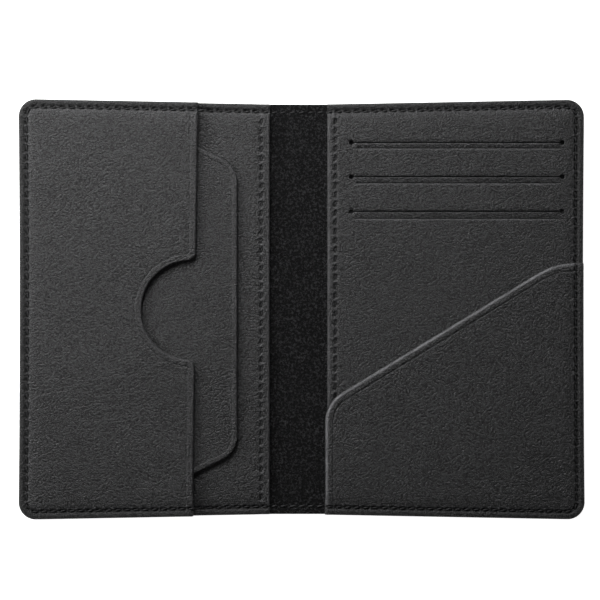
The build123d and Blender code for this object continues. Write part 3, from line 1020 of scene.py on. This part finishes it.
def layer_marks(distance, mouth_highlight_and_wear=0.1, crease=FAR, slits=False, seams=()):
    """Where the leather is painted light, as a highlight and partly as real wear, along its mouth and
    creases and between stitches, and where painted shade darkens it.
    """
    def marks(x, y):
        edge = cover_distance(x, y)
        patchy = 0.7 + 0.3 * waves(x, y, 3.0, 91)
        # Painted highlight along the mouth's rolled edge, the seam's shoulder and the crease, partly
        # real edge wear.
        worn = mouth_highlight_and_wear * ridge(distance(x, y), 0.6, 0.4) * patchy * smooth((edge - 1.2) / 2.0)
        worn += 0.05 * ridge(edge, 3.5, 0.5)
        worn += 0.07 * ridge(distance(x, y), crease + 0.12, 0.2) * smooth((edge - 2.6) / 0.6)
        if slits:
            worn += slit_highlights(x, y)
        # Painted shade on the bead and in the seam's groove.
        dark = 0.42 * (1 - smooth((edge - 2.9) / 0.3)) + 0.25 * ridge(edge, SEAM_INSET, 0.4)
        # Painted shade in the stitch holes, and painted highlight on the lumps between them.
        for from_seam, places in ((from_perimeter_seam, perimeter_places), *seams):
            pits, lumps = stitch_shape(x, y, from_seam(x, y), places)
            dark += pits
            worn += 0.16 * lumps
        return {"worn": np.clip(worn, 0, 1), "dark": np.clip(dark, 0, 1)}
    return marks


def rim(x, y):
    """The relief that every layer shows along the cover's edge."""
    edge = cover_distance(x, y)
    return rim_profile(edge) + stitch_relief(x, y, edge - SEAM_INSET, perimeter_places)


def dome(x, y):
    """How far the layers rise away from the cover's edge."""
    return crown(cover_distance(x, y))


def top_pocket_height(x, y):
    mouth = top_distance(x, y)
    return top_top + rim(x, y) + mouth_profile(mouth, TOP_CREASE) + grain(x, y, 10)


def middle_pocket_height(x, y):
    mouth = middle_distance(x, y)
    fold = mouth_profile(mouth, MIDDLE_CREASE, rim=0.16, pressed=0.07)
    return middle_top + rim(x, y) + fold + grain(x, y, 20)


def base_panel_height(x, y):
    edge = base_edge - x
    seam = stitch_relief(x, y, from_base_seam(x, y), base_places)
    return base_top + rim(x, y) + seam_edge_profile(edge, BASE_SEAM_INSET) + seam + grain(x, y, 30, 0.05)


def card_panel_height(x, y):
    edge = x - card_edge
    seam = stitch_relief(x, y, from_card_seam(x, y), card_places)
    relief = seam_edge_profile(edge, CARD_SEAM_INSET) + seam + slit_profile(x, y)
    return card_top + rim(x, y) + relief + grain(x, y, 40, 0.045)


def diagonal_pocket_height(x, y):
    mouth = diagonal_distance(x, y)
    fold = mouth_profile(mouth, DIAGONAL_CREASE, roll=1.15, rim=0.1, pressed=0.14)
    return diagonal_top + rim(x, y) + fold + grain(x, y, 50, 0.04)


def hidden_under(*distances):
    """Positive where a panel shows: outside every panel that lies on it."""
    def shown(x, y):
        return -np.max([d(x, y) for d in distances], axis=0)
    return shown


def with_hem(hem_bottom, bottom, hemmed):
    """A panel's underside: a hem turned in along its sewn edges, and the panel inside that."""
    def underside(x, y):
        return np.where(hemmed(x, y) < HEM_WIDTH, hem_bottom(x, y), bottom + dome(x, y))
    return underside


def panel(
    name, nodes, body, path, distance, height, underside, extra, shown, seed, mouth_highlight_and_wear,
    crease=FAR, slits=False, seams=(),
):
    """One leather panel of a cover and its hem, in the place of their CAD nodes."""
    loops = [panel_loop(path, distance)]
    if slits:
        loops += slit_loops()

    def inside(x, y):
        depth = np.minimum(cover_distance(x, y), distance(x, y))
        return np.minimum(depth, slit_distance(x, y)) if slits else depth

    families = [extra, cover_rows()]
    points = fill_points(loops, families, inside, shown, SHOWN_SPACING, seed)
    hem = rows(cover_loop(0, 1.5), cover_distance, HEM_ROWS, loop=True)
    hem = np.concatenate((hem, moved_in(path, distance, HEM_ROWS, 1.5)))
    hem = hem[inside(*hem.T) > 0.3]
    below = grid(loops[0].min(0), loops[0].max(0), HIDDEN_SPACING, seed + 2)
    below = below[inside(*below.T) > 0.6]
    below = np.concatenate((hem, thinned(hem, below, 0.8)))
    marks = layer_marks(distance, mouth_highlight_and_wear, crease, slits, seams)
    piece = build_sheet(name, loops, points, below, height, underside, marks)
    finished(piece, leather, nodes, body)
    return piece, loops


def on_suede(x, y):
    return lining_top - 0.1 + suede_profile(cover_distance(x, y))


def on_base(x, y):
    return base_top + rim_profile(cover_distance(x, y))


def on_middle_and_base(x, y):
    level = np.where(middle_distance(x, y) > 0, middle_top, base_top)
    return level + rim_profile(cover_distance(x, y))


def on_card_panel(x, y):
    return card_top + rim_profile(cover_distance(x, y))


def base_hemmed(x, y):
    return np.minimum(cover_distance(x, y), base_distance(x, y))


def card_hemmed(x, y):
    return np.minimum(cover_distance(x, y), card_distance(x, y))


# The number given after the seed sets how strongly each mouth is painted light, as a highlight and
# partly as real wear.
top_pocket, top_loops = panel(
    "top_pocket_leather", ["top_pocket", "top_pocket_hem"], "front_cover",
    top_mouth_path, top_distance, top_pocket_height,
    with_hem(on_middle_and_base, top_bottom + LINING_THICKNESS, cover_distance),
    mouth_rows(top_mouth_path, top_distance, TOP_CREASE),
    everywhere, 1, mouth_highlight_and_wear=0.12, crease=TOP_CREASE,
)
middle_pocket, middle_loops = panel(
    "middle_pocket_leather", ["middle_pocket", "middle_pocket_hem"], "front_cover",
    middle_mouth_path, middle_distance, middle_pocket_height,
    with_hem(on_base, middle_bottom + LINING_THICKNESS, cover_distance),
    mouth_rows(middle_mouth_path, middle_distance, MIDDLE_CREASE),
    hidden_under(top_distance), 2, mouth_highlight_and_wear=0.14, crease=MIDDLE_CREASE,
)
base_panel, base_loops = panel(
    "base_panel_leather", ["base_panel"], "front_cover",
    base_mouth_path, base_distance, base_panel_height,
    with_hem(on_suede, lining_top, base_hemmed),
    np.concatenate((mouth_rows(base_mouth_path, base_distance), seam_rows(BASE_SEAM))),
    hidden_under(top_distance, middle_distance), 3, mouth_highlight_and_wear=0.16,
    seams=[(from_base_seam, base_places)],
)


def lip_rows():
    """Rows along each slit's lips and crease."""
    made = []
    for height, lip_width in zip(slit_heights, LIP_WIDTHS):
        for offset in (0.28, 0.45, 0.7, 1.1, -0.28, -0.45, -0.8, -1.2, -1.6):
            made.append((height + offset, 0.7))
        for offset in CREASE_ROWS:
            made.append((height - lip_width + offset, 0.7))
    half = SLIT_LENGTH / 2 + 0.3
    runs = [run((slit_centre - half, y), (slit_centre + half, y), s) for y, s in made]
    for height in slit_heights:
        for end in (-1, 1):
            centre = slit_centre + end * SLIT_LENGTH / 2, height
            for radius in (0.9, 1.1, 1.4, 1.8):
                runs.append(arc(centre, radius, 0, 2 * pi, 0.3))
    return np.concatenate(runs)


card_panel, card_loops = panel(
    "card_panel_leather", ["card_panel", "card_panel_hem"], "back_cover",
    card_mouth_path, card_distance, card_panel_height,
    with_hem(on_suede, card_bottom, card_hemmed),
    np.concatenate((mouth_rows(card_mouth_path, card_distance), seam_rows(CARD_SEAM), lip_rows())),
    hidden_under(diagonal_distance), 4, mouth_highlight_and_wear=0.3, slits=True,
    seams=[(from_card_seam, card_places)],
)
diagonal_pocket, diagonal_loops = panel(
    "diagonal_pocket_leather", ["diagonal_pocket", "diagonal_pocket_hem"], "back_cover",
    diagonal_mouth_path, diagonal_distance, diagonal_pocket_height,
    with_hem(on_card_panel, diagonal_bottom + LINING_THICKNESS, cover_distance),
    mouth_rows(diagonal_mouth_path, diagonal_distance, DIAGONAL_CREASE),
    everywhere, 5, mouth_highlight_and_wear=0.9, crease=DIAGONAL_CREASE,
)


# The cloth under the leather: the pockets' linings and the card slots' liners

NO_POINTS = np.empty((0, 2))


def within(points, outline):
    """Whether each point lies inside an outline, by the crossings to its right."""
    inside = np.zeros(len(points), bool)
    for start, end in zip(outline, outline[1:]):
        if start[1] == end[1]:
            continue
        level = (points[:, 1] - start[1]) / (end[1] - start[1])
        beyond = start[0] + level * (end[0] - start[0]) > points[:, 0] + 0.2
        inside ^= ((points[:, 1] > start[1]) != (points[:, 1] > end[1])) & beyond
    return inside


def cloth_sheet(name, node_name, body, loops, extra, top, bottom):
    """One sheet of cloth with a plain grid inside its outline, in the place of its CAD node."""
    inner = grid(loops[0].min(0), loops[0].max(0), 2.5, 60)
    inner = np.concatenate((extra, thinned(np.concatenate((loops[0], extra)), inner, 1.0)))
    outline = np.concatenate((loops[0], loops[0][:1]))
    piece = build_sheet(name, loops, inner[within(inner, outline)], NO_POINTS, top, bottom)
    finished(piece, pocket_cloth, [node_name], body)
    return piece


def pocket_lining(name, node_name, body, path, distance, bottom):
    """A pocket's lining, glued under its leather inside the hem."""
    def lined(x, y):
        return distance(x, y) - LINING_MARGIN

    def lined_path(spacing):
        return moved_in(path, distance, (LINING_MARGIN,), spacing)

    def under(x, y):
        return bottom + dome(x, y) + 0.02 * waves(x, y, 7, 80)

    def over(x, y):
        return bottom + LINING_THICKNESS - 0.02 + dome(x, y)

    loops = [panel_loop(lined_path, lined, 1.2, HEM_WIDTH + 0.1)]
    return cloth_sheet(name, node_name, body, loops, NO_POINTS, over, under), loops


def card_liner(name, node_name, layer):
    """The cloth behind a card slit, glued to the panel along its upper edge."""
    (left, lower, bottom), (right, upper, glued_top) = span(node_name)
    corners = ((left, lower), (right, lower), (right, upper), (left, upper), (left, lower))
    loops = [np.concatenate([run(a, b, 1.2) for a, b in zip(corners, corners[1:])])]
    fold = upper - GLUE_WIDTH
    extra = [run((left + 0.4, fold + step), (right - 0.4, fold + step), 1.2) for step in (0, 0.1)]

    def lift(x, y):
        return dome(x, y) + 0.03 * waves(x, y, 11, 84 + layer)

    def under(x, y):
        return bottom + lift(x, y)

    def over(x, y):
        return np.where(y > fold + 0.05, glued_top, bottom + LINER_THICKNESS) + lift(x, y)

    made = cloth_sheet(name, node_name, "back_cover", loops, np.concatenate(extra), over, under)
    return made, loops


cloth_pieces = [
    pocket_lining("top_pocket_cloth", "top_pocket_lining", "front_cover",
                  top_mouth_path, top_distance, top_bottom),
    pocket_lining("middle_pocket_cloth", "middle_pocket_lining", "front_cover",
                  middle_mouth_path, middle_distance, middle_bottom),
    pocket_lining("diagonal_pocket_cloth", "diagonal_pocket_lining", "back_cover",
                  diagonal_mouth_path, diagonal_distance, diagonal_bottom),
]
for layer, which in enumerate(("top", "middle", "bottom")):
    cloth_pieces.append(card_liner(f"card_slot_cloth_{which}", f"card_liner_{which}", layer))


# The two halves of the outer leather and of the suede lining, which meet at the middle of the spine

def lining_shown(x, y):
    return np.minimum(x - base_edge, diagonal_edge + 2 - x)


def suede_height(x, y):
    edge = cover_distance(x, y)
    relief = stitch_relief(x, y, edge - SEAM_INSET, perimeter_places) * 0.2
    nap = 0.05 * waves(x, y, 0.7, 61) + 0.05 * waves(x, y, 2.2, 62)
    nap = nap * smooth(lining_shown(x, y) / 1.5)
    return lining_top - 0.1 + suede_profile(edge) + relief + nap


def leather_back_height(x, y):
    """The outer face, which looks down."""
    edge = cover_distance(x, y)
    relief = rolled(edge, 1.5, 0.75) + 0.30 * ridge(edge, SEAM_INSET, 0.55)
    pits = stitch_relief(x, y, edge - SEAM_INSET, perimeter_places)
    swell = 0.16 * np.exp(-np.maximum(edge - 3.0, 0) / 2.5) * smooth((edge - 2.6) / 0.6)
    return 0.12 + relief - 0.8 * pits + swell - grain(x, y, 70, 0.03)


def turned_edge_height(x, y):
    return np.where(cover_distance(x, y) < 4.0, lining_bottom - 0.02, board_bottom - 0.02)


for side, sign in SIDES:
    def half_distance(x, y, sign=sign):
        return sign * x

    def half_inside(x, y, sign=sign):
        return np.minimum(cover_distance(x, y), sign * x)

    loops = [panel_loop(middle_of_spine_path, half_distance)]
    coarse = grid(loops[0].min(0), loops[0].max(0), HIDDEN_SPACING, 21)
    coarse = coarse[half_inside(*coarse.T) > 0.6]

    def lining_underside(x, y):
        return np.full(np.shape(x), lining_bottom)

    points = fill_points(
        loops, [cover_rows()], half_inside, lining_shown, SHOWN_SPACING, 30
    )
    lining = build_sheet(
        f"{side}_suede_lining", loops, points, coarse, suede_height, lining_underside
    )
    lining_nodes = [f"{side}_lining"] + (["spine_lining"] if side == "front" else [])
    finished(lining, suede, lining_nodes)

    turned = rows(cover_loop(0, 1.5), cover_distance, (3.95, 4.05), loop=True)
    turned = turned[half_inside(*turned.T) > 0.1]
    inner = np.concatenate((turned, thinned(turned, coarse, 0.8)))
    points = fill_points(
        loops, [cover_rows()], half_inside, everywhere, 0.75, 40
    )
    outer = build_sheet(
        f"{side}_cover_leather", loops, inner, points,
        turned_edge_height, leather_back_height, layer_marks(everywhere),
    )
    outer_nodes = [f"{side}_outer_leather"] + (["spine_leather"] if side == "front" else [])
    finished(outer, smooth_leather, outer_nodes)
    for piece in (lining, outer):
        bends_at_spine(piece)


# The spine's filler, in two halves

FILLER_GAP = 0.06  # between the filler and the layers over and under it, as modelled flat


def spine_filler(side, sign):
    (_, lower, bottom), (right, upper, top) = span("spine_backing")
    right *= sign
    corners = ((0, upper), (right, upper), (right, lower), (0, lower), (0, upper))
    loops = [np.concatenate([run(a, b, 0.8) for a, b in zip(corners, corners[1:])])]
    inner = grid(loops[0].min(0) + 0.4, loops[0].max(0) - 0.4, 0.9, 90)

    def over(x, y):
        return np.full(np.shape(x), top - FILLER_GAP)

    def under(x, y):
        return np.full(np.shape(x), bottom + FILLER_GAP)

    piece = build_sheet(f"{side}_spine_filler", loops, inner, inner, over, under)
    return finished(piece, board, ["spine_backing"] if side == "front" else [])


for side, sign in SIDES:
    bends_at_spine(spine_filler(side, sign))


# The thread

THREAD_SIDES, THREAD_RINGS = 8, 11
PERIMETER_STITCH, STRAIGHT_STITCH = 2.25, 1.9  # how long a stitch's visible part is


def layer_height(x, y):
    """Height of the uppermost layer's middle of the seam, at points along the perimeter."""
    one = np.array([x]), np.array([y])
    if top_distance(*one)[0] > 0:
        return top_pocket_height(*one)[0]
    if x < base_edge:
        return base_panel_height(*one)[0]
    if diagonal_distance(*one)[0] > 0:
        return diagonal_pocket_height(*one)[0]
    if x > card_edge:
        return card_panel_height(*one)[0]
    return suede_height(*one)[0]


def stitch(place, height, length, slant, outwards, arch=0.16):
    """One stitch: a two-ply twist whose ends go down into the leather."""
    x, y, way_x, way_y = place
    turned = cos(slant), sin(slant)
    along = way_x * turned[0] - way_y * turned[1], way_x * turned[1] + way_y * turned[0]
    vertices = []
    for ring in range(THREAD_RINGS):
        t = 2 * ring / (THREAD_RINGS - 1) - 1
        rise = arch * (1 - t**2) - 0.35 * max(0.0, abs(t) - 0.6) / 0.4
        thin = 1 - 0.35 * t**4
        for k in range(THREAD_SIDES):
            angle = 2 * pi * k / THREAD_SIDES
            ply = 1 + 0.22 * cos(2 * (angle - 2.4 * t))
            radius = THREAD_RADIUS * thin * ply
            across, up = radius * cos(angle), radius * sin(angle) + rise
            vertices.append((
                x + along[0] * t * length / 2 - along[1] * across,
                y + along[1] * t * length / 2 + along[0] * across,
                height + outwards * up,
            ))
    return vertices


def stitch_faces(start, outwards):
    faces = []
    for ring in range(THREAD_RINGS - 1):
        for k in range(THREAD_SIDES):
            a = start + ring * THREAD_SIDES + k
            b = start + ring * THREAD_SIDES + (k + 1) % THREAD_SIDES
            face = [a, b, b + THREAD_SIDES, a + THREAD_SIDES]
            faces.append(face[::-1] if outwards > 0 else face)
    first = [start + k for k in range(THREAD_SIDES)]
    last = [start + (THREAD_RINGS - 1) * THREAD_SIDES + k for k in range(THREAD_SIDES)]
    faces += [first if outwards > 0 else first[::-1], last[::-1] if outwards > 0 else last]
    return faces


def stitches(name, stitched):
    """One object of many stitches, each given as place, height, length, slant and side."""
    vertices, faces = [], []
    for place, height, length, slant, outwards in stitched:
        faces += stitch_faces(len(vertices), outwards)
        vertices += stitch(place, height, length, slant, outwards)
    return new_mesh(name, np.array(vertices), faces, {})


PERIMETER_SLANT, STRAIGHT_SLANT = radians(9), radians(16)
seams = {"front": [], "back": [], "spine": []}
for place in perimeter_places:
    x, y, way_x, way_y = place
    ends = [layer_height(x + way_x * s, y + way_y * s) for s in (-1.0, 0.0, 1.0)]
    inner = max(ends[0] - 0.08, ends[1], ends[2] - 0.08) + 0.02
    outer = float(leather_back_height(np.array([x]), np.array([y]))[0]) - 0.02
    side = "spine" if abs(x) < FOLD_END - 0.3 else ("front" if x < 0 else "back")
    seams[side].append((place, inner, PERIMETER_STITCH, PERIMETER_SLANT, 1))
    seams[side].append((place, outer, PERIMETER_STITCH, -PERIMETER_SLANT, -1))

for side, stitched in seams.items():
    node_name = "spine_stitches" if side == "spine" else f"{side}_perimeter_stitches"
    piece = stitches(f"{side}_seam_thread", stitched)
    finished(piece, thread, [node_name])
    if side == "spine":
        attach(piece, "spine")
    else:
        sign = -1 if side == "front" else 1
        bends_at_spine(piece)

for name, node_name, body, places in (
    ("base_panel_thread", "base_panel_stitches", "front_cover", base_places),
    ("card_panel_thread", "card_panel_stitches", "back_cover", card_places),
):
    stitched = []
    for place in places:
        if "card" in name and diagonal_distance(place[:1], place[1:2])[0] > -0.5:
            height = card_top - 0.35
        else:
            height = layer_height(place[0], place[1]) + 0.02
        stitched.append((place, height, STRAIGHT_STITCH, -STRAIGHT_SLANT, 1))
    finished(stitches(name, stitched), thread, [node_name], body)


# The CAD nodes that stay: the stiff boards

for name in ("front_board", "back_board"):
    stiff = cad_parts[name]
    stiff.data.materials.clear()
    stiff.data.materials.append(board)


# The floor, the lights and the camera

def floor():
    made, tree, shader = material("floor")
    shader.inputs["Base Color"].default_value = (0.9, 0.9, 0.9, 1)
    shader.inputs["Roughness"].default_value = 0.9
    shader.inputs["Specular IOR Level"].default_value = 0.0
    shader.inputs["Emission Color"].default_value = (1, 1, 1, 1)
    shader.inputs["Emission Strength"].default_value = 1.0
    mesh = bpy.data.meshes.new("floor")
    size, drop = 4.0, -0.0002
    corners = [(-size, -size, drop), (size, -size, drop), (size, size, drop), (-size, size, drop)]
    mesh.from_pydata(corners, [], [(0, 1, 2, 3)])
    mesh.materials.append(made)
    piece = bpy.data.objects.new("floor", mesh)
    bpy.context.scene.collection.objects.link(piece)


def soft_light(name, turn, rise, away, size, power):
    """A square light around the holder: turned from the right, and raised, in degrees."""
    lamp = bpy.data.lights.new(name, "AREA")
    lamp.size, lamp.energy = size, power
    made = bpy.data.objects.new(name, lamp)
    bpy.context.scene.collection.objects.link(made)
    level = cos(radians(rise))
    place = Vector((cos(radians(turn)) * level, sin(radians(turn)) * level, sin(radians(rise))))
    made.location = place * away
    made.rotation_euler = place.to_track_quat("Z", "Y").to_euler()


floor()
soft_light("upper", turn=101, rise=30, away=0.45, size=0.20, power=2.1)
soft_light("left", turn=160, rise=22, away=0.45, size=0.18, power=1.45)
soft_light("lower_left", turn=225, rise=45, away=1.0, size=0.5, power=0.3)

world = bpy.data.worlds.new("world")
bpy.context.scene.world = world
world.use_nodes = True
world.node_tree.nodes["Background"].inputs["Color"].default_value = (1, 1, 1, 1)
world.node_tree.nodes["Background"].inputs["Strength"].default_value = 0.05
bpy.context.scene.view_settings.view_transform = "Standard"

camera_data = bpy.data.cameras.new("camera")
camera_data.lens = 100.0
camera = bpy.data.objects.new("camera", camera_data)
bpy.context.scene.collection.objects.link(camera)
camera.location = (-0.0006, 0.0031, 0.5586)
bpy.context.scene.camera = camera
